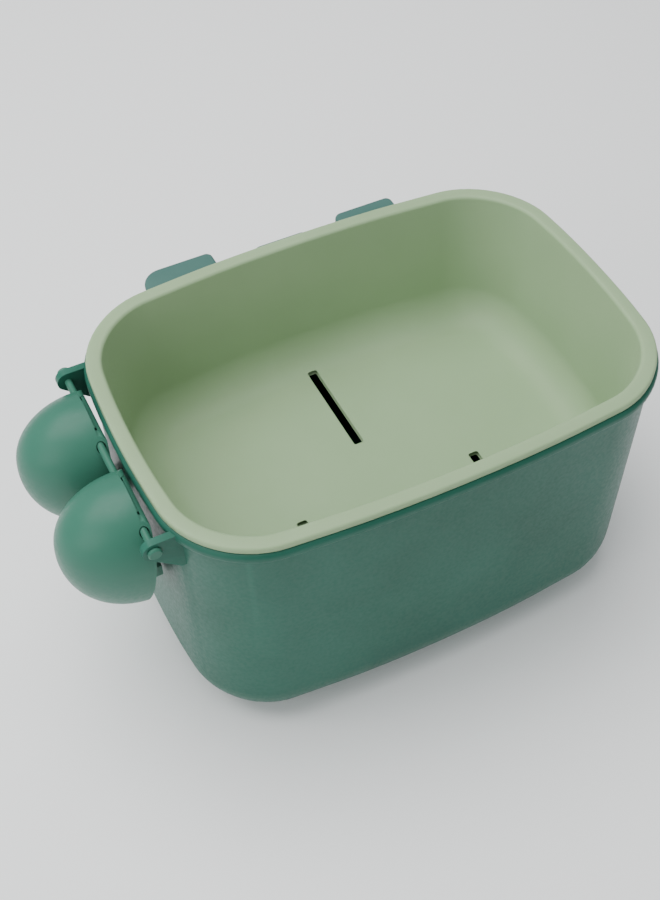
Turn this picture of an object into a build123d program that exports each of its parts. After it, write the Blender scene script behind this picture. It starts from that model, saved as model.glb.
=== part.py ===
from build123d import *
from math import cos, radians, sin, tan
import os

# A small hang-on two-layer box: a slotted tray sits in a deeper tub, three hooks
# stand behind the long back side and two domed ears swing at one short end.
# The origin is the centre of the tub's flat base; +X is along the long side,
# away from the ears, +Y is towards the hooks and +Z is up. Millimetres.

# ---- overall sizes ----
LENGTH = 220.0              # of the tray rim, along X
WIDTH = 154.0               # of the tray rim, along Y
HEIGHT = 138.0              # base to the top of the tray rim
SIDE_BOW = 6.0              # how far a long side bows out
END_BOW = 5.0               # how far a short side bows out
CORNER_RADIUS = 40.0

# ---- tub ----
TUB_WALL = 2.4
TUB_FLOOR = 2.6
TUB_DRAFT = 1.0             # degrees
TUB_BASE_FILLET = 29.0
FLANGE_HEIGHT = 5.0
BEAD_OUT = 1.2              # the bead's edge stands out past the tray rim
WALL_IN = 1.0               # the wall's outside, in from the tray rim's edge
BEAD_FILLET = 1.9

# ---- tray ----
RIM_HEIGHT = 3.0
RIM_BAND = 6.2              # width of the flat rim, edge to hollow
TRAY_WALL = 2.0
TRAY_FLOOR = 2.4
TRAY_DEPTH = 64.0           # rim top to the inside of the floor
TRAY_DRAFT = 6.0            # degrees
TRAY_COVE = 17.0            # inside fillet between floor and wall
SEAT_GAP = 0.2              # between the tray rim and the tub's flange
RIM_TOP_FILLET = 1.1
RIM_INNER_FILLET = 1.6

# ---- drain slots ----
SLOT_WIDTH = 4.6
SLOT_CORNER = 0.9
SLOT_GROUP_X = -2.6         # the middle slot's place along X
SLOT_SPACING = 42.0         # middle slot to a front slot, along X
MIDDLE_SLOT_LENGTH = 48.5
MIDDLE_SLOT_Y = 28.8        # centre of the middle slot
FRONT_SLOT_LENGTH = 26.0
FRONT_SLOT_Y = -36.0        # centre of the two front slots

# ---- ears: half an egg with its flat back towards the box, hollow ----
EAR_HALF_WIDTH = 22.4
EAR_RISE = 25.0             # broadest level up to the tip
EAR_DROP = 37.0             # broadest level down to the lower end
EAR_DEPTH = 32.0
EAR_WALL = 2.0
EAR_LEAN = 8.0              # degrees that the back leans out at its foot
EAR_GAP = 1.4               # between the two ears
EAR_OFF_RIM = 4.6           # back out from the rim edge, at the broadest level
EAR_BELOW_RIM = 25.5        # broadest level below the rim top
BACK_PLATE = 2.0
BACK_PLATE_FIT = 0.25       # back plate to the inside of the shell
BUMPER_WIDTH = 12.0
BUMPER_HEIGHT = 6.0
BUMPER_BELOW_RIM = 50.0
BUMPER_GAP = 0.3            # bumper to the tub's wall

# ---- hinge of the ears ----
PIN_RADIUS = 1.5
PIN_FIT = 0.08              # radial clearance in the barrels and lugs
PIN_OUT = 5.0               # pin axis out from the rim edge
PIN_BELOW_RIM = 8.5
BARREL_RADIUS = 3.0
BARREL_HALF_LENGTH = 8.0
SWING_RADIUS = 3.3          # nothing of the ear above the pin is inboard of this
SIDE_HOLE_RADIUS = 2.0      # where the pin leaves the ear's side
LUG_GAP = 0.6               # between a lug and the ear's broad side
LUG_THICKNESS = 3.2
LUG_RADIUS = 4.5
LUG_ROOT = 15.0             # height of the lug where it meets the wall
PIN_HEAD_RADIUS = 2.8
PIN_HEAD = 1.4
PIN_HEAD_CHAMFER = 0.5
PIN_STANDOFF = 0.2          # pin head or cap to the lug
PIN_CAP = 2.4
PIN_CAP_FIT = 0.02

# ---- hooks on the back ----
HOOK_CENTRE = {"left": -50.0, "middle": -2.0, "right": 41.0}
HOOK_DEPTH = {"left": 12.2, "middle": 5.8, "right": 9.6}
HOOK_LEFT_CORNER = {"left": 9.0, "middle": 3.0, "right": 3.6}
HOOK_RIGHT_CORNER = 3.0
HOOK_WIDTH = {"left": 34.0, "middle": 26.0, "right": 29.0}
HOOK_THICKNESS = 2.4
HOOK_BELOW_RIM = 6.6        # top of a hook, below the rim top
HOOK_LEG = 29.0
HOOK_LIP = 15.0
HOOK_TOP_FILLET = 1.6
PAD_MARGIN = 1.5            # the tub's flat pad, past the hook on each side
PAD_OUT = 0.6               # pad face out from the bead's outermost line
PAD_HEIGHT = 29.0
SCREW_RADIUS = 1.4
SCREW_FIT = 0.05
SCREW_HEAD_RADIUS = 2.7
SCREW_HEAD = 1.1
SCREW_LENGTH = 6.6
SCREW_BELOW_TOP = 23.0      # screw below the hook's top

# ---- worked out ----
RIM_TOP = HEIGHT
FLANGE_TOP = RIM_TOP - RIM_HEIGHT - SEAT_GAP
FLANGE_UNDER = FLANGE_TOP - FLANGE_HEIGHT
RIM_END_X = -LENGTH / 2
WALL_END_X = RIM_END_X + WALL_IN
EAR_CENTRE_Y = EAR_HALF_WIDTH + EAR_GAP / 2
EAR_CENTRE_X = RIM_END_X - EAR_OFF_RIM
EAR_CENTRE_Z = RIM_TOP - EAR_BELOW_RIM
PIN_X = RIM_END_X - PIN_OUT
PIN_Z = RIM_TOP - PIN_BELOW_RIM
BUMPER_Z = RIM_TOP - BUMPER_BELOW_RIM
BUMPER_END_X = WALL_END_X + (FLANGE_UNDER - BUMPER_Z) * tan(radians(TUB_DRAFT)) - BUMPER_GAP
BUMPER_FOOT_X = EAR_CENTRE_X - (EAR_CENTRE_Z - BUMPER_Z) * tan(radians(EAR_LEAN)) - BACK_PLATE / 2
CUTTING_BLOCK = 3 * EAR_DROP
LUG_INSIDE_Y = EAR_CENTRE_Y + EAR_HALF_WIDTH + LUG_GAP
PIN_END_Y = LUG_INSIDE_Y + LUG_THICKNESS + PIN_STANDOFF
PAD_FACE_Y = WIDTH / 2 + BEAD_OUT + PAD_OUT
HOOK_TOP = RIM_TOP - HOOK_BELOW_RIM
SCREW_Z = HOOK_TOP - SCREW_BELOW_TOP

os.makedirs("parts", exist_ok=True)


def box_outline(inset):
    """The bowed, round-cornered outline of the box, in from the tray rim's edge."""
    half_length = LENGTH / 2 - inset
    half_width = WIDTH / 2 - inset
    corner_x = half_length - END_BOW
    corner_y = half_width - SIDE_BOW
    with BuildSketch(mode=Mode.PRIVATE) as outline:
        with BuildLine():
            ThreePointArc((-corner_x, -corner_y), (0, -half_width), (corner_x, -corner_y))
            ThreePointArc((corner_x, -corner_y), (half_length, 0), (corner_x, corner_y))
            ThreePointArc((corner_x, corner_y), (0, half_width), (-corner_x, corner_y))
            ThreePointArc((-corner_x, corner_y), (-half_length, 0), (-corner_x, -corner_y))
        make_face()
        fillet(outline.vertices(), CORNER_RADIUS - inset)
    add(outline.sketch)


def export(builder, name):
    builder.part.label = name
    export_step(builder.part, f"parts/{name}.step")


# ---------------------------------------------------------------- inner tray

with BuildPart() as tray_hollow:
    with BuildSketch(Plane.XY.offset(RIM_TOP)):
        box_outline(RIM_BAND)
    extrude(amount=-TRAY_DEPTH, taper=TRAY_DRAFT)
    fillet(tray_hollow.faces().sort_by(Axis.Z)[0].edges(), TRAY_COVE)

with BuildPart() as inner_tray:
    with BuildSketch(Plane.XY.offset(RIM_TOP)):
        box_outline(RIM_BAND - TRAY_WALL)
    extrude(amount=-(TRAY_DEPTH + TRAY_FLOOR), taper=TRAY_DRAFT)
    fillet(inner_tray.faces().sort_by(Axis.Z)[0].edges(), TRAY_COVE + TRAY_WALL)
    with BuildSketch(Plane.XY.offset(RIM_TOP - RIM_HEIGHT)):
        box_outline(0)
    extrude(amount=RIM_HEIGHT)
    add(tray_hollow.part, mode=Mode.SUBTRACT)
    rim_face = inner_tray.faces().sort_by(Axis.Z)[-1]
    fillet(rim_face.outer_wire().edges(), RIM_TOP_FILLET)
    rim_face = inner_tray.faces().sort_by(Axis.Z)[-1]
    fillet(rim_face.inner_wires()[0].edges(), RIM_INNER_FILLET)
    with BuildSketch(Plane.XY.offset(RIM_TOP - TRAY_DEPTH)):
        with Locations((SLOT_GROUP_X, MIDDLE_SLOT_Y)):
            RectangleRounded(SLOT_WIDTH, MIDDLE_SLOT_LENGTH, SLOT_CORNER)
        with Locations(
            (SLOT_GROUP_X - SLOT_SPACING, FRONT_SLOT_Y),
            (SLOT_GROUP_X + SLOT_SPACING, FRONT_SLOT_Y),
        ):
            RectangleRounded(SLOT_WIDTH, FRONT_SLOT_LENGTH, SLOT_CORNER)
    extrude(amount=2 * TRAY_FLOOR, both=True, mode=Mode.SUBTRACT)
export(inner_tray, "inner_tray")

# ---------------------------------------------------------------- outer tub

with BuildPart() as tub_hollow:
    with BuildSketch(Plane.XY.offset(FLANGE_TOP)):
        box_outline(WALL_IN + TUB_WALL)
    extrude(amount=-(FLANGE_TOP - TUB_FLOOR), taper=TUB_DRAFT)
    fillet(tub_hollow.faces().sort_by(Axis.Z)[0].edges(), TUB_BASE_FILLET - TUB_FLOOR)

with BuildPart() as outer_tub:
    with BuildSketch(Plane.XY.offset(FLANGE_UNDER)):
        box_outline(WALL_IN)
    extrude(amount=-FLANGE_UNDER, taper=TUB_DRAFT)
    fillet(outer_tub.faces().sort_by(Axis.Z)[0].edges(), TUB_BASE_FILLET)
    with BuildSketch(Plane.XY.offset(FLANGE_UNDER)):
        box_outline(-BEAD_OUT)
    extrude(amount=FLANGE_HEIGHT)
    fillet(outer_tub.faces().sort_by(Axis.Z)[-1].edges(), BEAD_FILLET)
    underside = outer_tub.faces().filter_by_position(Axis.Z, FLANGE_UNDER, FLANGE_UNDER)[0]
    fillet(underside.outer_wire().edges(), BEAD_FILLET)
    # two lugs under the rim carry the pin of the ears; the hollow trims their roots
    for side in (-1, 1):
        lug_y = side * (LUG_INSIDE_Y + LUG_THICKNESS / 2)
        with BuildSketch(Plane.XZ.offset(-lug_y)):
            with BuildLine():
                Polyline(
                    (PIN_X, PIN_Z + LUG_RADIUS),
                    (0, PIN_Z + LUG_RADIUS),
                    (0, FLANGE_UNDER - LUG_ROOT),
                    (RIM_END_X + LUG_RADIUS, FLANGE_UNDER - LUG_ROOT),
                    (PIN_X, PIN_Z - LUG_RADIUS),
                    close=True,
                )
            make_face()
            with Locations((PIN_X, PIN_Z)):
                Circle(LUG_RADIUS)
                Circle(PIN_RADIUS + PIN_FIT, mode=Mode.SUBTRACT)
        extrude(amount=LUG_THICKNESS / 2, both=True)
    # flat pads for the hooks, trimmed by the hollow in the same way
    for name, centre in HOOK_CENTRE.items():
        with BuildSketch(Plane.XZ.offset(-PAD_FACE_Y)):
            with Locations((centre, FLANGE_UNDER - PAD_HEIGHT / 2)):
                RectangleRounded(HOOK_WIDTH[name] + 2 * PAD_MARGIN, PAD_HEIGHT, PAD_MARGIN)
        extrude(amount=PAD_FACE_Y)
    add(tub_hollow.part, mode=Mode.SUBTRACT)
    screw_points = [(centre, SCREW_Z) for centre in HOOK_CENTRE.values()]
    with BuildSketch(Plane.XZ.offset(-PAD_FACE_Y)):
        with Locations(*screw_points):
            Circle(SCREW_RADIUS + SCREW_FIT)
    extrude(amount=SCREW_LENGTH - HOOK_THICKNESS + SCREW_FIT, mode=Mode.SUBTRACT)
export(outer_tub, "outer_tub")

# ---------------------------------------------------------------- ears


def ear_form(inset):
    """Half an egg about the origin: X is its depth, Y its width and Z is up."""
    half_width = EAR_HALF_WIDTH - inset
    with BuildPart(mode=Mode.PRIVATE) as form:
        with BuildSketch(Plane.YZ):
            with BuildLine():
                EllipticalCenterArc((0, 0), half_width, EAR_RISE - inset, 90, arc_size=90)
                EllipticalCenterArc((0, 0), half_width, EAR_DROP - inset, 180, arc_size=90)
                Line((0, inset - EAR_DROP), (0, EAR_RISE - inset))
            make_face()
        revolve(axis=Axis.Z, revolution_arc=180)
        scale(by=((EAR_DEPTH - inset) / half_width, 1, 1))
    return form.part


def ear_plane(side):
    """The plane at the middle of an ear's flat back; its X points out of the box."""
    lean = radians(EAR_LEAN)
    return Plane(
        origin=(EAR_CENTRE_X, side * EAR_CENTRE_Y, EAR_CENTRE_Z),
        x_dir=(-cos(lean), 0, sin(lean)),
        z_dir=(sin(lean), 0, cos(lean)),
    )


with BuildPart() as swing_room:
    with BuildSketch(Plane.XZ):
        with Locations((PIN_X, PIN_Z)):
            Rectangle(EAR_DEPTH, EAR_DEPTH, align=(Align.MIN, Align.MIN))
            Circle(SWING_RADIUS, mode=Mode.SUBTRACT)
    extrude(amount=LUG_INSIDE_Y, both=True)

for side, name in ((-1, "front_ear"), (1, "back_ear")):
    pin_plane = Plane.XZ.offset(-side * EAR_CENTRE_Y)
    with BuildPart() as ear_shell:
        with Locations(ear_plane(side).location):
            add(ear_form(0))
            add(ear_form(EAR_WALL), mode=Mode.SUBTRACT)
        add(swing_room.part, mode=Mode.SUBTRACT)
        with BuildSketch(pin_plane):
            with Locations((PIN_X, PIN_Z)):
                Circle(SIDE_HOLE_RADIUS)
        extrude(amount=EAR_HALF_WIDTH, both=True, mode=Mode.SUBTRACT)
    export(ear_shell, f"{name}_shell")

    with BuildPart() as ear_back:
        with Locations(ear_plane(side).location):
            add(ear_form(EAR_WALL + BACK_PLATE_FIT))
            with Locations((BACK_PLATE, 0, 0)):
                Box(
                    CUTTING_BLOCK,
                    CUTTING_BLOCK,
                    CUTTING_BLOCK,
                    align=(Align.MIN, Align.CENTER, Align.CENTER),
                    mode=Mode.SUBTRACT,
                )
        add(swing_room.part, mode=Mode.SUBTRACT)
        with BuildSketch(pin_plane):
            with Locations((PIN_X, PIN_Z)):
                Circle(BARREL_RADIUS)
        extrude(amount=BARREL_HALF_LENGTH, both=True)
        with BuildSketch(Plane.XY.offset(BUMPER_Z)):
            with Locations((BUMPER_END_X, side * EAR_CENTRE_Y)):
                Rectangle(BUMPER_END_X - BUMPER_FOOT_X, BUMPER_WIDTH, align=(Align.MAX, Align.CENTER))
        extrude(amount=BUMPER_HEIGHT / 2, both=True)
        with BuildSketch(pin_plane):
            with Locations((PIN_X, PIN_Z)):
                Circle(PIN_RADIUS + PIN_FIT)
        extrude(amount=EAR_HALF_WIDTH, both=True, mode=Mode.SUBTRACT)
    export(ear_back, f"{name}_back")

# ---------------------------------------------------------------- ear pin and its cap

with BuildPart() as ear_pin:
    with BuildSketch(Plane.XZ.offset(PIN_END_Y)):
        with Locations((PIN_X, PIN_Z)):
            Circle(PIN_RADIUS)
    extrude(amount=-(2 * PIN_END_Y + PIN_CAP))
    with BuildSketch(Plane.XZ.offset(PIN_END_Y)):
        with Locations((PIN_X, PIN_Z)):
            Circle(PIN_HEAD_RADIUS)
    extrude(amount=PIN_HEAD)
    chamfer(ear_pin.faces().sort_by(Axis.Y)[0].edges(), PIN_HEAD_CHAMFER)
export(ear_pin, "ear_pin")

with BuildPart() as pin_cap:
    with BuildSketch(Plane.XZ.offset(-PIN_END_Y)):
        with Locations((PIN_X, PIN_Z)):
            Circle(PIN_HEAD_RADIUS)
            Circle(PIN_RADIUS + PIN_CAP_FIT, mode=Mode.SUBTRACT)
    extrude(amount=-PIN_CAP)
export(pin_cap, "pin_cap")

# ---------------------------------------------------------------- hooks and their screws

for name, centre in HOOK_CENTRE.items():
    depth = HOOK_DEPTH[name]
    width = HOOK_WIDTH[name]
    low_corner = (centre - width / 2, PAD_FACE_Y)
    with BuildPart() as hook:
        with BuildSketch(Plane.XY.offset(HOOK_TOP)) as plan:
            with Locations(low_corner):
                Rectangle(width, depth, align=(Align.MIN, Align.MIN))
            left_corner = plan.vertices().group_by(Axis.X)[0].sort_by(Axis.Y)[-1]
            right_corner = plan.vertices().group_by(Axis.X)[-1].sort_by(Axis.Y)[-1]
            fillet(left_corner, HOOK_LEFT_CORNER[name])
            fillet(right_corner, HOOK_RIGHT_CORNER)
        extrude(amount=-HOOK_LEG)
        fillet(hook.faces().sort_by(Axis.Z)[-1].edges(), HOOK_TOP_FILLET)
        with BuildSketch(Plane.XY.offset(HOOK_TOP - HOOK_THICKNESS)):
            with Locations((centre, PAD_FACE_Y + HOOK_THICKNESS)):
                Rectangle(
                    2 * width,
                    depth - 2 * HOOK_THICKNESS,
                    align=(Align.CENTER, Align.MIN),
                )
        extrude(amount=-HOOK_LEG, mode=Mode.SUBTRACT)
        with BuildSketch(Plane.XY.offset(HOOK_TOP - HOOK_LIP)):
            with Locations((centre, PAD_FACE_Y + HOOK_THICKNESS)):
                Rectangle(2 * width, depth, align=(Align.CENTER, Align.MIN))
        extrude(amount=-HOOK_LEG, mode=Mode.SUBTRACT)
        with BuildSketch(Plane.XZ.offset(-PAD_FACE_Y)):
            with Locations((centre, SCREW_Z)):
                Circle(SCREW_RADIUS + SCREW_FIT)
        extrude(amount=-HOOK_THICKNESS, mode=Mode.SUBTRACT)
    export(hook, f"{name}_hook")

with BuildPart() as hook_screws:
    with BuildSketch(Plane.XZ.offset(-PAD_FACE_Y - HOOK_THICKNESS)):
        with Locations(*screw_points):
            Circle(SCREW_RADIUS)
    extrude(amount=SCREW_LENGTH)
    with BuildSketch(Plane.XZ.offset(-PAD_FACE_Y - HOOK_THICKNESS)):
        with Locations(*screw_points):
            Circle(SCREW_HEAD_RADIUS)
    extrude(amount=-SCREW_HEAD)
export(hook_screws, "hook_screws")
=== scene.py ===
# %% [markdown]
# # A two-layer hang-on box with a slotted tray
#
# The box is a deep dark green tub with a light green tray lying in it. Three hooks stand
# behind one long side, and two domed ears swing on a plastic pin at one short end.
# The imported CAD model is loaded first: it fixes every size and place, so each piece made
# here takes its place from the CAD boxes. One scene unit is a metre.

# %% Load the fixed frame
from math import atan, cos, pi, radians, sin, tan

import bmesh
import bpy
from mathutils import Matrix, Vector


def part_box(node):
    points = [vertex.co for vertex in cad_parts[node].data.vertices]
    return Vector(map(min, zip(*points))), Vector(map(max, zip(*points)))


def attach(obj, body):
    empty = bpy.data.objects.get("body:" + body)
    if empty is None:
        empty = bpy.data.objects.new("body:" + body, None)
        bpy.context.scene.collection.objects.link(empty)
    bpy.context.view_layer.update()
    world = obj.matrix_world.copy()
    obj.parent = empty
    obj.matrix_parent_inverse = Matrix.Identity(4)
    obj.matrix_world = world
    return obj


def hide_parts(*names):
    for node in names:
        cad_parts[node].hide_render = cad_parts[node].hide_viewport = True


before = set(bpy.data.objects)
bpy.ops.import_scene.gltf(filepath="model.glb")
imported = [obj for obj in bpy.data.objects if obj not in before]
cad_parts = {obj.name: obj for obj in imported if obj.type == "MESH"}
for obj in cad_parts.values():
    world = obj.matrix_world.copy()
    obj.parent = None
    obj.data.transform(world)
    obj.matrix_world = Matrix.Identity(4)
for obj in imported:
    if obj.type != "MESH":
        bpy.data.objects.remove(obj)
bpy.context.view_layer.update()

MM = 0.001

# %% [markdown]
# ## Sizes read from the frame
#
# The tray's box gives the rim's length and width, and the top of the box. The few sizes a
# box can't give, such as a wall or a corner radius, are named here in millimetres.

# %% Sizes
TRAY_LOW, TRAY_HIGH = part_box("inner_tray")
TUB_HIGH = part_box("outer_tub")[1]
PIN_LOW, PIN_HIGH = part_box("ear_pin")
EAR_LOW, EAR_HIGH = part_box("front_ear_shell")

HALF_LENGTH = TRAY_HIGH.x
HALF_WIDTH = TRAY_HIGH.y
RIM_TOP = TRAY_HIGH.z
TRAY_BASE = TRAY_LOW.z
BEAD_TOP = TUB_HIGH.z
BEAD_OUT = TUB_HIGH.x - HALF_LENGTH

END_BOW = 5 * MM
SIDE_BOW = 6 * MM
CORNER_RADIUS = 40 * MM
RIM_HEIGHT = 3 * MM
RIM_BAND = 6.2 * MM
TRAY_WALL = 2 * MM
TRAY_FLOOR = 2.4 * MM
TRAY_SLOPE = tan(radians(6))
BEAD_HEIGHT = 5 * MM
WALL_IN = 1 * MM
TUB_WALL = 2.4 * MM
TUB_FLOOR = 2.6 * MM
TUB_SLOPE = tan(radians(1))
PIN_X = (PIN_LOW.x + PIN_HIGH.x) / 2
PIN_Z = (PIN_LOW.z + PIN_HIGH.z) / 2
print("rim", round(2 * HALF_LENGTH / MM), "x", round(2 * HALF_WIDTH / MM), "mm, top at", round(RIM_TOP / MM))

# %% [markdown]
# ## Small helpers for working by hand in code
#
# An operator acts on what is selected. These helpers put one object in edit mode with only
# the wanted vertices, edges or faces selected, chosen by where their middles lie.

# %% Selecting and finishing


def only(*objects):
    """Selects just these objects; the first becomes the active one."""
    if bpy.context.object and bpy.context.object.mode != "OBJECT":
        bpy.ops.object.mode_set(mode="OBJECT")
    bpy.ops.object.select_all(action="DESELECT")
    for thing in objects:
        thing.select_set(True)
    bpy.context.view_layer.objects.active = objects[0]
    return objects[0]


def clear_selection():
    if bpy.context.object and bpy.context.object.mode != "OBJECT":
        bpy.ops.object.mode_set(mode="OBJECT")
    bpy.ops.object.select_all(action="DESELECT")


def edit(thing):
    only(thing)
    bpy.ops.object.mode_set(mode="EDIT")


def done():
    bpy.ops.object.mode_set(mode="OBJECT")


def pick(thing, kind, test):
    """In edit mode, selects the VERT, EDGE or FACE elements whose middle passes the test."""
    bpy.ops.mesh.select_mode(type=kind)
    bpy.ops.mesh.select_all(action="DESELECT")
    mesh = bmesh.from_edit_mesh(thing.data)
    elements = {"VERT": mesh.verts, "EDGE": mesh.edges, "FACE": mesh.faces}[kind]
    for element in elements:
        corners = [element] if kind == "VERT" else element.verts
        middle = sum((corner.co for corner in corners), Vector()) / len(corners)
        if test(middle):
            element.select_set(True)
    mesh.select_flush_mode()
    bmesh.update_edit_mesh(thing.data)


def use_modifier(thing, kind, **settings):
    """Adds a modifier with these settings and applies it at once."""
    only(thing)
    modifier = thing.modifiers.new(kind.title(), kind)
    for key, value in settings.items():
        setattr(modifier, key, value)
    bpy.ops.object.modifier_apply(modifier=modifier.name)


def finish_piece(thing, name, angle=35):
    """Names the piece, puts its place into its mesh, turns faces out and shades it."""
    only(thing)
    bpy.ops.object.transform_apply(location=True, rotation=True, scale=True)
    edit(thing)
    bpy.ops.mesh.select_all(action="SELECT")
    bpy.ops.mesh.remove_doubles(threshold=0.002 * MM)
    bpy.ops.mesh.normals_make_consistent(inside=False)
    done()
    bpy.ops.object.shade_smooth_by_angle(angle=radians(angle))
    thing.name = name
    thing.data.name = name
    print(name, len(thing.data.polygons), "faces")
    return thing


# %% [markdown]
# ## Materials
#
# Everything but the screws is polypropylene from a mould. Its colour is never quite even,
# because the melt cools at different speeds; its skin is satin, with a fine grain; and its
# sharp edges get a painted highlight, a paler colour. Each shade of green is the same recipe with two
# colours.

# %% Colour and node helpers


def linear(colour):
    """Turns an sRGB hex colour into the linear values that a shader wants."""
    parts = [int(colour[start:start + 2], 16) / 255 for start in (1, 3, 5)]
    return [part / 12.92 if part <= 0.04045 else ((part + 0.055) / 1.055) ** 2.4 for part in parts] + [1]


def add_node(tree, kind, values=None, links=None, **settings):
    """Adds a node with its settings, its input values and the outputs linked to its inputs."""
    new = tree.nodes.new(kind)
    for key, value in settings.items():
        setattr(new, key, value)
    for key, value in (values or {}).items():
        new.inputs[key].default_value = value
    for key, source in (links or {}).items():
        tree.links.new(source, new.inputs[key])
    return new


def new_material(name):
    """An empty material with just a surface shader; gives its node tree and that shader."""
    material = bpy.data.materials.new(name)
    material.use_nodes = True
    material.node_tree.nodes.clear()
    shader = add_node(material.node_tree, "ShaderNodeBsdfPrincipled")
    add_node(material.node_tree, "ShaderNodeOutputMaterial", links={"Surface": shader.outputs["BSDF"]})
    return material, material.node_tree, shader


# %% Moulded polypropylene
FLOW_SIZE = 45 * MM         # width of the cloudy patches that the melt leaves
GRAIN_SIZE = 0.5 * MM       # a real spark grain is 0.1 mm: drawn coarser so that it shows
GRAIN_DEPTH = 0.02 * MM
SPECK_SIZE = 1.6 * MM
POLYPROPYLENE_IOR = 1.49
DULL_SKIN = 0.2             # specular level: a grained skin mirrors less than a polished one
SCATTER_DEPTH = 3 * MM      # how far light creeps inside the plastic


def moulded_polypropylene(name, shade, pale_and_highlight, roughness, clearness):
    """Satin plastic: cloudy colour, fine grain, a painted highlight on sharp edges and a little inner glow.
    """
    material, tree, shader = new_material(name)
    place = add_node(tree, "ShaderNodeTexCoord").outputs["Object"]
    flow = add_node(tree, "ShaderNodeTexNoise", {"Scale": 1 / FLOW_SIZE, "Detail": 3}, {"Vector": place})
    speck = add_node(tree, "ShaderNodeTexNoise", {"Scale": 1 / SPECK_SIZE, "Detail": 2}, {"Vector": place})
    grain = add_node(tree, "ShaderNodeTexNoise", {"Scale": 1 / GRAIN_SIZE, "Detail": 1}, {"Vector": place})
    cloud = add_node(tree, "ShaderNodeMapRange",
                     {"From Min": 0.3, "From Max": 0.7, "To Min": 0.0, "To Max": 0.35},
                     {"Value": flow.outputs["Fac"]})
    # painted highlight: where the mesh is sharp and convex, the colour is mixed towards the pale one, as if
    # light caught the edge
    edge_highlight_mask = add_node(tree, "ShaderNodeMapRange",
                    {"From Min": 0.54, "From Max": 0.64, "To Min": 0.0, "To Max": 0.6},
                    {"Value": add_node(tree, "ShaderNodeNewGeometry").outputs["Pointiness"]})
    clouded = add_node(tree, "ShaderNodeMix", {"A": linear(shade), "B": linear(pale_and_highlight)}, data_type="RGBA")
    tree.links.new(cloud.outputs["Result"], clouded.inputs["Factor"])
    # mixes the painted edge highlight over the cloudy colour
    painted_edge_highlight = add_node(tree, "ShaderNodeMix", {"B": linear(pale_and_highlight)}, data_type="RGBA")
    tree.links.new(clouded.outputs["Result"], painted_edge_highlight.inputs["A"])
    tree.links.new(edge_highlight_mask.outputs["Result"], painted_edge_highlight.inputs["Factor"])
    satin = add_node(tree, "ShaderNodeMapRange",
                     {"From Min": 0.3, "From Max": 0.7,
                      "To Min": roughness - 0.05, "To Max": roughness + 0.07},
                     {"Value": speck.outputs["Fac"]})
    bump = add_node(tree, "ShaderNodeBump", {"Strength": 0.5, "Distance": GRAIN_DEPTH},
                    {"Height": grain.outputs["Fac"]})
    tree.links.new(painted_edge_highlight.outputs["Result"], shader.inputs["Base Color"])
    tree.links.new(satin.outputs["Result"], shader.inputs["Roughness"])
    tree.links.new(bump.outputs["Normal"], shader.inputs["Normal"])
    shader.inputs["IOR"].default_value = POLYPROPYLENE_IOR
    shader.inputs["Specular IOR Level"].default_value = DULL_SKIN
    shader.inputs["Subsurface Weight"].default_value = clearness
    shader.inputs["Subsurface Radius"].default_value = (1, 1, 1)
    shader.inputs["Subsurface Scale"].default_value = SCATTER_DEPTH
    return material


# the tray's pale shade lets the most light in, so its shadows stay soft and green
TRAY_GREEN = moulded_polypropylene("moulded polypropylene, light green", "#90A983", "#9DB590", 0.42, 0.4)
# the tub's deep shade shows the overhead light as a soft sheen along its bead, and the painted edge
# highlight adds to it
TUB_GREEN = moulded_polypropylene("moulded polypropylene, dark green", "#1C5545", "#346F5E", 0.40, 0.05)
# the ears are a little lighter and smoother than the tub, like pebbles
EAR_GREEN = moulded_polypropylene("moulded polypropylene, mid green", "#356A58", "#4A7D6B", 0.36, 0.1)
# the hooks are greyer, which sets them off from the rim
HOOK_GREEN = moulded_polypropylene("moulded polypropylene, grey green", "#41665F", "#587C75", 0.45, 0.1)

# %% Steel of the screws
BRUSH_WIDTH = 0.3 * MM      # width of the turning marks


def turned_steel(name):
    """Bright turned steel: its fine rings break up the highlight."""
    material, tree, shader = new_material(name)
    place = add_node(tree, "ShaderNodeTexCoord").outputs["Object"]
    marks = add_node(tree, "ShaderNodeTexNoise", {"Scale": 1 / BRUSH_WIDTH, "Detail": 2}, {"Vector": place})
    rough = add_node(tree, "ShaderNodeMapRange",
                     {"From Min": 0.3, "From Max": 0.7, "To Min": 0.25, "To Max": 0.4},
                     {"Value": marks.outputs["Fac"]})
    tree.links.new(rough.outputs["Result"], shader.inputs["Roughness"])
    shader.inputs["Base Color"].default_value = linear("#C9CBCC")
    shader.inputs["Metallic"].default_value = 1.0
    return material


STEEL = turned_steel("turned steel")


def paint(thing, material):
    """Gives a piece, or a CAD node's object, one material."""
    thing.data.materials.clear()
    thing.data.materials.append(material)


# %% [markdown]
# ## The outline that tub and tray share
#
# Seen from above the box is a rectangle with large round corners and sides that bow out a
# little. A plane gives the rectangle, its middle points are pushed out, and a vertex bevel
# rounds every corner. Every height of both mouldings uses this one outline, further in or
# out, so that the two always nest.

# %% One outline as a flat face
CORNER_STEPS = 14
SIDE_STEPS = 8
BOW_SHARE = 0.5             # of a half side is taken up by the bow's arc
TIP_LOST = 2 - 2 ** 0.5     # a round vertex bevel takes this share off the tip it rounds


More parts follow.
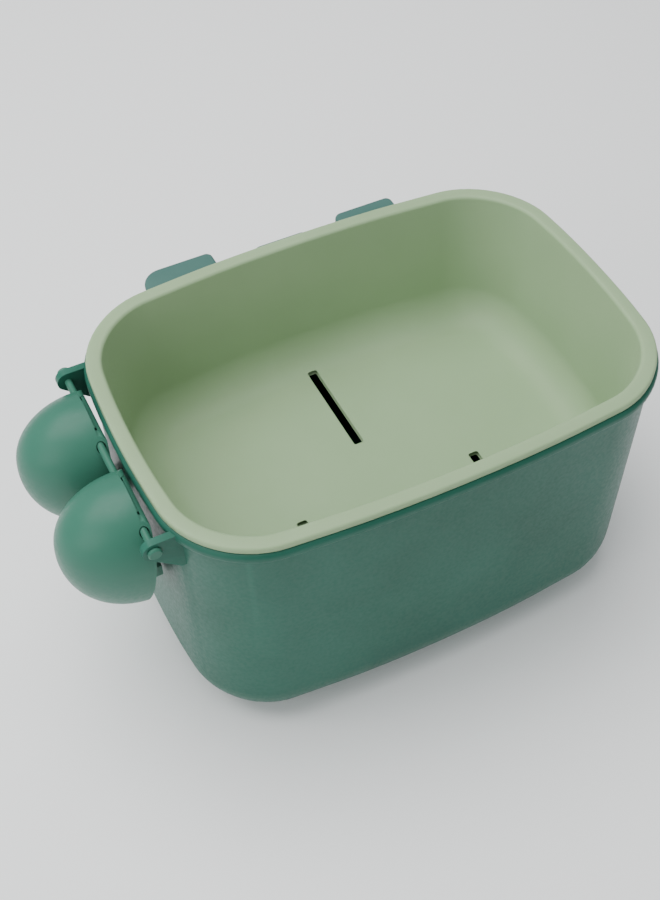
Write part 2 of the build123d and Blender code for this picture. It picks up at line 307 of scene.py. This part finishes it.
def outline(inset, height):
    """A flat face in the box's outline, in from the rim's edge by inset."""
    corner_x = HALF_LENGTH - END_BOW - inset
    corner_y = HALF_WIDTH - SIDE_BOW - inset
    rise_x = END_BOW / (1 - TIP_LOST * BOW_SHARE)
    rise_y = SIDE_BOW / (1 - TIP_LOST * BOW_SHARE)
    turn = pi / 2 - atan(rise_x / corner_y) - atan(rise_y / corner_x)
    clear_selection()
    bpy.ops.mesh.primitive_plane_add(size=1, location=(0, 0, height))
    face = bpy.context.object
    face.scale = (2 * corner_x, 2 * corner_y, 1)
    bpy.ops.object.transform_apply(location=True, rotation=True, scale=True)
    edit(face)
    bpy.ops.mesh.subdivide(number_cuts=1)
    pick(face, "VERT", lambda p: abs(p.x) < MM and abs(p.y) < MM)
    bpy.ops.mesh.dissolve_verts()
    pick(face, "VERT", lambda p: abs(p.x) < MM)
    bpy.ops.transform.resize(value=(1, 1 + rise_y / corner_y, 1))
    pick(face, "VERT", lambda p: abs(p.y) < MM)
    bpy.ops.transform.resize(value=(1 + rise_x / corner_x, 1, 1))
    for reach, middle in ((corner_x, lambda p: abs(p.x) < MM), (corner_y, lambda p: abs(p.y) < MM)):
        pick(face, "VERT", middle)
        bpy.ops.mesh.bevel(affect="VERTICES", offset=BOW_SHARE * reach, segments=SIDE_STEPS)
    pick(face, "VERT", lambda p: abs(abs(p.x) - corner_x) + abs(abs(p.y) - corner_y) < MM / 10)
    corner_run = (CORNER_RADIUS - inset) * tan(turn / 2)
    bpy.ops.mesh.bevel(affect="VERTICES", offset=corner_run, segments=CORNER_STEPS)
    done()
    return face


# %% [markdown]
# ## A shell is a stack of outlines
#
# Both mouldings are thin shells that are closed all round: outside base, outside wall, rim,
# inside wall and inside floor. That section is drawn as a few corners, each with its own
# rounding, and an arc is put in at every corner. The shell is then built like a stack of
# cards, one outline for each point of the section, each bridged to the one before. This
# gives even four-sided faces, which shade more smoothly than a Bevel would here.

# %% Round the corners of a section
# two outlines in one plane would give the bridge no direction, so a level face falls this much
FALL = 0.05 * MM
SMALL_ROUNDING = 3 * MM
FEW_STEPS = 4
MANY_STEPS = 14
FLOOR_RUN = 60 * MM         # the base and the floor run in level from their first corner


def rounded(corners):
    """Turns (inset, height, rounding) corners into the points of a section."""
    first, last = corners[0], corners[-1]
    path = [(first[0] + FLOOR_RUN, first[1], 0), *corners, (last[0] + FLOOR_RUN, last[1], 0)]
    points = []
    for before, corner, after in zip(path, path[1:], path[2:]):
        here = Vector((corner[0], 0, corner[1]))
        back = (Vector((before[0], 0, before[1])) - here).normalized()
        ahead = (Vector((after[0], 0, after[1])) - here).normalized()
        half = back.angle(ahead) / 2
        centre = here + (back + ahead).normalized() * corner[2] / sin(half)
        spoke = here + back * corner[2] / tan(half) - centre
        steps = FEW_STEPS if corner[2] < SMALL_ROUNDING else MANY_STEPS
        for step in range(steps + 1):
            turned = (pi - 2 * half) * step / steps
            point = centre + spoke * cos(turned) - back * corner[2] * sin(turned)
            points.append((point.x, point.z))
    return points


# %% Bridge the stack


def shell(corners):
    """Bridges one outline for each point of the section into a closed shell."""
    points = rounded(corners)
    body = outline(*points[0])
    for number, point in enumerate(points[1:], start=2):
        card = outline(*point)
        if number < len(points):
            edit(card)
            bpy.ops.mesh.select_all(action="SELECT")
            bpy.ops.mesh.delete(type="ONLY_FACE")
        only(body, card)
        bpy.ops.object.join()
        edit(body)
        bpy.ops.mesh.select_mode(type="EDGE")
        bpy.ops.mesh.select_all(action="DESELECT")
        bpy.ops.mesh.select_non_manifold(use_multi_face=False, use_non_contiguous=False, use_verts=False)
        bpy.ops.mesh.bridge_edge_loops()
        done()
    return body


# %% [markdown]
# ## The inner tray
#
# The tray is a light green moulding with a flat rim that lies on the tub's bead. Its walls
# lean in by six degrees so that it leaves its mould, and a wide cove joins them to the
# floor. Three narrow slots let water and crumbs through. A Boolean cuts them, and leaves
# their walls open.

# %% Tray shell
FLOOR_TOP = TRAY_BASE + TRAY_FLOOR
RIM_UNDER = RIM_TOP - RIM_HEIGHT
WALL_BAND = RIM_BAND - TRAY_WALL
tray = shell([
    (WALL_BAND + (RIM_TOP - TRAY_BASE) * TRAY_SLOPE, TRAY_BASE, 19 * MM),
    (WALL_BAND + RIM_HEIGHT * TRAY_SLOPE, RIM_UNDER, 0.6 * MM),
    (0, RIM_UNDER - FALL, 0.4 * MM),
    (0, RIM_TOP - FALL, 1.1 * MM),
    (RIM_BAND, RIM_TOP, 1.6 * MM),
    (RIM_BAND + (RIM_TOP - FLOOR_TOP) * TRAY_SLOPE, FLOOR_TOP, 17 * MM),
])

# %% Tray slots
SLOT_WIDTH = 4.6 * MM
SLOT_CORNER = 0.9 * MM
SLOTS = [
    (-2.6 * MM, 28.8 * MM, 48.5 * MM),
    (-44.6 * MM, -36 * MM, 26 * MM),
    (39.4 * MM, -36 * MM, 26 * MM),
]
CUT_DEPTH = 12 * MM
for slot_x, slot_y, slot_length in SLOTS:
    clear_selection()
    bpy.ops.mesh.primitive_cube_add(size=1, location=(slot_x, slot_y, FLOOR_TOP))
    cutter = bpy.context.object
    cutter.scale = (SLOT_WIDTH, slot_length, CUT_DEPTH)
    bpy.ops.object.transform_apply(location=True, rotation=True, scale=True)
    edit(cutter)
    pick(cutter, "EDGE", lambda p: abs(p.z - FLOOR_TOP) < MM)
    bpy.ops.mesh.bevel(offset=SLOT_CORNER, segments=4)
    done()
    use_modifier(tray, "BOOLEAN", operation="DIFFERENCE", object=cutter, solver="EXACT")
    bpy.data.objects.remove(cutter)
tray = finish_piece(tray, "slotted_tray")
paint(tray, TRAY_GREEN)
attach(tray, "tray")
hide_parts("inner_tray")

# %% [markdown]
# ## The outer tub
#
# The tub is made in the same way, with a one degree lean, a very round base and a bead
# round its mouth. Its lugs and hook pads are moulded with it, so they are joined on after.

# %% Tub shell
BEAD_UNDER = BEAD_TOP - BEAD_HEIGHT
MOUTH = WALL_IN + TUB_WALL
tub = shell([
    (WALL_IN + BEAD_UNDER * TUB_SLOPE, 0, 29 * MM),
    (WALL_IN, BEAD_UNDER, 0.3 * MM),
    (-BEAD_OUT, BEAD_UNDER - FALL, 1.8 * MM),
    (-BEAD_OUT, BEAD_TOP - FALL, 1.8 * MM),
    (MOUTH, BEAD_TOP, 0.6 * MM),
    (MOUTH + (BEAD_TOP - TUB_FLOOR) * TUB_SLOPE, TUB_FLOOR, 26.4 * MM),
])

# %% Lugs and hook pads
# each is a plain block at first; a slightly larger hollow cuts its root inside the tub's wall
BURIED = 0.8 * MM
LUG_THICKNESS = 3.2 * MM
LUG_RADIUS = 4.5 * MM
LUG_ROOT = 15 * MM
LUG_GAP = 0.6 * MM
LUG_END_X = -90 * MM        # well inside the tub, where the hollow cuts it off
LUG_BORE = 1.58 * MM
LUG_Y = LUG_GAP - EAR_LOW.y + LUG_THICKNESS / 2
PAD_OUT = 0.6 * MM
PAD_FACE = HALF_WIDTH + BEAD_OUT + PAD_OUT
PAD_ROOT = 55 * MM          # well inside the tub too
PAD_EDGE = 0.3 * MM
PAD_HEIGHT = 29 * MM
PAD_MARGIN = 1.5 * MM
HOOKS = ("left_hook", "middle_hook", "right_hook")


def block(low, high):
    """A box between two corners, for cutting with and for joining on."""
    clear_selection()
    bpy.ops.mesh.primitive_cube_add(size=1, location=[(a + b) / 2 for a, b in zip(low, high)])
    made = bpy.context.object
    made.scale = [b - a for a, b in zip(low, high)]
    bpy.ops.object.transform_apply(location=True, rotation=True, scale=True)
    return made


def rod_along_y(x, z, radius, low, high, sides=48):
    clear_selection()
    bpy.ops.mesh.primitive_cylinder_add(
        vertices=sides, radius=radius, depth=high - low,
        location=(x, (low + high) / 2, z), rotation=(pi / 2, 0, 0))
    bpy.ops.object.transform_apply(location=True, rotation=True, scale=True)
    return bpy.context.object


def combine(thing, other, operation):
    """Adds, cuts or keeps the shared part, then drops the second object."""
    use_modifier(thing, "BOOLEAN", operation=operation, object=other, solver="EXACT")
    bpy.data.objects.remove(other)


def hull(thing):
    edit(thing)
    bpy.ops.mesh.select_all(action="SELECT")
    bpy.ops.mesh.convex_hull()
    done()


fittings = []
for side in (-1, 1):
    low_y = side * LUG_Y - LUG_THICKNESS / 2
    high_y = low_y + LUG_THICKNESS
    nose = rod_along_y(PIN_X, PIN_Z, LUG_RADIUS, low_y, high_y)
    root = block((-HALF_LENGTH + LUG_RADIUS, low_y, BEAD_UNDER - LUG_ROOT),
                 (LUG_END_X, high_y, PIN_Z + LUG_RADIUS))
    only(nose, root)
    bpy.ops.object.join()
    hull(nose)
    combine(nose, rod_along_y(PIN_X, PIN_Z, LUG_BORE, low_y - MM, high_y + MM), "DIFFERENCE")
    fittings.append(nose)
for hook_name in HOOKS:
    hook_low, hook_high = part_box(hook_name)
    pad = block((hook_low.x - PAD_MARGIN, PAD_ROOT, BEAD_UNDER - PAD_HEIGHT),
                (hook_high.x + PAD_MARGIN, PAD_FACE, BEAD_UNDER))
    edit(pad)
    pick(pad, "EDGE", lambda p: abs(p.y - (PAD_ROOT + PAD_FACE) / 2) < MM)
    bpy.ops.mesh.bevel(offset=PAD_MARGIN, segments=5)
    pick(pad, "FACE", lambda p: p.y > PAD_FACE - MM)
    bpy.ops.mesh.bevel(offset=PAD_EDGE, segments=2)
    done()
    fittings.append(pad)
only(*fittings)
bpy.ops.object.join()
fitting = fittings[0]
hollow = shell([
    (MOUTH - BURIED, BEAD_TOP + 2 * MM, 0.6 * MM),
    (MOUTH - BURIED + (BEAD_TOP - TUB_FLOOR) * TUB_SLOPE, TUB_FLOOR, 26.4 * MM),
])
finish_piece(hollow, "hollow")
combine(fitting, hollow, "DIFFERENCE")
combine(tub, fitting, "UNION")
tub = finish_piece(tub, "deep_tub")
paint(tub, TUB_GREEN)
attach(tub, "tub")
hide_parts("outer_tub")

# %% [markdown]
# ## The ears
#
# Each ear is half an egg: a sphere whose inner half is deleted, drawn out to 25 mm above its
# widest level and 37 mm below, and given a 2 mm wall. It leans out by eight degrees. Above
# the pin its inboard side is cut back, so that it clears the tub when it swings.

# %% Ear shells
EAR_LEAN = radians(8)
EAR_HALF_WIDTH = (EAR_HIGH.y - EAR_LOW.y) / 2
EAR_RISE = 25 * MM
EAR_DROP = 37 * MM
EAR_DEPTH = 32 * MM
EAR_WALL = 2 * MM
EAR_OFF_RIM = 4.6 * MM
EAR_BELOW_RIM = 25.5 * MM
EAR_CENTRE = Vector((-HALF_LENGTH - EAR_OFF_RIM, (EAR_LOW.y + EAR_HIGH.y) / 2, RIM_TOP - EAR_BELOW_RIM))
SWING_RADIUS = 3.3 * MM
SIDE_HOLE = 2 * MM


def egg_half():
    """A closed half egg shell with its open side towards +X and its wall inside."""
    clear_selection()
    bpy.ops.mesh.primitive_uv_sphere_add(segments=144, ring_count=96, radius=1)
    egg = bpy.context.object
    edit(egg)
    pick(egg, "VERT", lambda p: p.x > 0.001)
    bpy.ops.mesh.delete(type="VERT")
    pick(egg, "VERT", lambda p: p.z > 0.001)
    bpy.ops.transform.resize(value=(1, 1, EAR_RISE / EAR_DROP), center_override=(0, 0, 0))
    done()
    egg.scale = (EAR_DEPTH, EAR_HALF_WIDTH, EAR_DROP)
    bpy.ops.object.transform_apply(location=True, rotation=True, scale=True)
    use_modifier(egg, "SOLIDIFY", thickness=EAR_WALL, offset=-1)
    return egg


def ear_shell(side, name):
    ear = egg_half()
    ear.rotation_euler = (0, EAR_LEAN, 0)
    ear.location = (EAR_CENTRE.x, -side * EAR_CENTRE.y, EAR_CENTRE.z)
    bpy.ops.object.transform_apply(location=True, rotation=True, scale=True)
    middle = -side * EAR_CENTRE.y
    near, far = middle - EAR_DROP, middle + EAR_DROP
    room = block((PIN_X, near, PIN_Z), (PIN_X + EAR_DEPTH, far, PIN_Z + EAR_DEPTH))
    kept_core = rod_along_y(PIN_X, PIN_Z, SWING_RADIUS, near - EAR_DROP, far + EAR_DROP)
    combine(room, kept_core, "DIFFERENCE")
    combine(ear, room, "DIFFERENCE")
    combine(ear, rod_along_y(PIN_X, PIN_Z, SIDE_HOLE, near, far), "DIFFERENCE")
    return finish_piece(ear, name)


for side, body in ((-1, "front_ear"), (1, "back_ear")):
    ear = ear_shell(side, body + "_dome")
    paint(ear, EAR_GREEN)
    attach(ear, body)
    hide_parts(body + "_shell")

# %% [markdown]
# ## The hooks
#
# Each hook is a block the size of its CAD box. Its two outer corners and its top are
# rounded, the slot for the panel edge and the space below its short lip are cut out, and a
# small bevel takes the sharpness off what is left. The left one has a broad round end.

# %% Hooks
HOOK_THICKNESS = 2.4 * MM
HOOK_LIP = 15 * MM
HOOK_TOP_ROUND = 1.6 * MM
HOOK_EDGE = 0.25 * MM
HOOK_RIGHT_ROUND = 3 * MM
HOOK_LEFT_ROUND = {"left_hook": 9 * MM, "middle_hook": 3 * MM, "right_hook": 3.6 * MM}


def hook_clip(node_name):
    low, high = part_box(node_name)
    clip = block(low, high)
    edit(clip)
    pick(clip, "EDGE", lambda p: p.x < low.x + MM / 10 and p.y > high.y - MM / 10)
    bpy.ops.mesh.bevel(offset=HOOK_LEFT_ROUND[node_name], segments=10)
    pick(clip, "EDGE", lambda p: p.x > high.x - MM / 10 and p.y > high.y - MM / 10)
    bpy.ops.mesh.bevel(offset=HOOK_RIGHT_ROUND, segments=8)
    pick(clip, "EDGE", lambda p: p.z > high.z - MM / 10)
    bpy.ops.mesh.bevel(offset=HOOK_TOP_ROUND, segments=5)
    done()
    beyond = 5 * MM
    combine(clip, block((low.x - beyond, low.y + HOOK_THICKNESS, low.z - beyond),
                        (high.x + beyond, high.y - HOOK_THICKNESS, high.z - HOOK_THICKNESS)), "DIFFERENCE")
    combine(clip, block((low.x - beyond, low.y + HOOK_THICKNESS, low.z - beyond),
                        (high.x + beyond, high.y + beyond, high.z - HOOK_LIP)), "DIFFERENCE")
    use_modifier(clip, "BEVEL", width=HOOK_EDGE, segments=2, limit_method="ANGLE", angle_limit=radians(50))
    return finish_piece(clip, node_name + "_clip")


for hook_name in HOOKS:
    clip = hook_clip(hook_name)
    paint(clip, HOOK_GREEN)
    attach(clip, "tub")
    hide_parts(hook_name)

# %% [markdown]
# ## The CAD parts whose shape is right
#
# The flat backs of the ears, the pin, its cap and the screws keep their CAD shapes and only
# get their materials.

# %% Materials of the CAD parts
for node_name, material in (
    ("front_ear_back", EAR_GREEN), ("back_ear_back", EAR_GREEN), ("ear_pin", EAR_GREEN),
    ("pin_cap", EAR_GREEN), ("hook_screws", STEEL),
):
    paint(bpy.data.objects[node_name], material)

# %% [markdown]
# ## Floor, light and camera
#
# A pale floor, one large soft light overhead and a fill from the left keep the plastic's
# soft satin look. The camera looks down at the box from its front left.

# %% Stage
FLOOR_DROP = 0.1 * MM       # keeps the floor from lying in the same plane as the tub's base
clear_selection()
bpy.ops.mesh.primitive_plane_add(size=6, location=(0, 0, -FLOOR_DROP))
floor = bpy.context.object
floor.name = "floor"
card, card_tree, card_shader = new_material("white matt card")
card_place = add_node(card_tree, "ShaderNodeTexCoord").outputs["Object"]
card_fibre = add_node(card_tree, "ShaderNodeTexNoise", {"Scale": 1 / (2 * MM)}, {"Vector": card_place})
card_bump = add_node(card_tree, "ShaderNodeBump", {"Strength": 0.2, "Distance": 0.05 * MM},
                     {"Height": card_fibre.outputs["Fac"]})
card_tree.links.new(card_bump.outputs["Normal"], card_shader.inputs["Normal"])
card_shader.inputs["Base Color"].default_value = linear("#FAFBFB")
card_shader.inputs["Roughness"].default_value = 0.9
paint(floor, card)


def area_light(name, place, aim, size, power, colour):
    clear_selection()
    bpy.ops.object.light_add(type="AREA", location=place)
    lamp = bpy.context.object
    lamp.name = name
    lamp.data.size = size
    lamp.data.energy = power
    lamp.data.color = colour
    lamp.rotation_euler = (Vector(aim) - Vector(place)).to_track_quat("-Z", "Y").to_euler()
    return lamp


area_light("overhead", (-0.3, 0.25, 1.3), (0, 0, 0.08), 1.2, 24, (1, 1, 1))
area_light("left_fill", (-1.1, -0.5, 0.7), (0, 0, 0.08), 0.9, 6, (1, 1, 1))

world = bpy.data.worlds.new("studio")
world.use_nodes = True
world.node_tree.nodes["Background"].inputs["Color"].default_value = (0.9, 0.93, 0.95, 1)
world.node_tree.nodes["Background"].inputs["Strength"].default_value = 0.5
bpy.context.scene.world = world

# %% Camera
CAMERA_PLACE = Vector((-0.177, -0.329, 0.521))
CAMERA_TURN = radians(-25.6)
CAMERA_DOWN = radians(50.2)
CAMERA_ROLL = radians(-1.1)
clear_selection()
bpy.ops.object.camera_add(location=CAMERA_PLACE)
camera = bpy.context.object
camera.data.sensor_fit = "HORIZONTAL"
camera.data.sensor_width = 36
camera.data.lens = 71.5
level = Matrix.Rotation(CAMERA_TURN, 3, "Z") @ Matrix.Rotation(pi / 2 - CAMERA_DOWN, 3, "X")
camera.rotation_euler = (level @ Matrix.Rotation(CAMERA_ROLL, 3, "Z")).to_euler()
bpy.context.scene.camera = camera
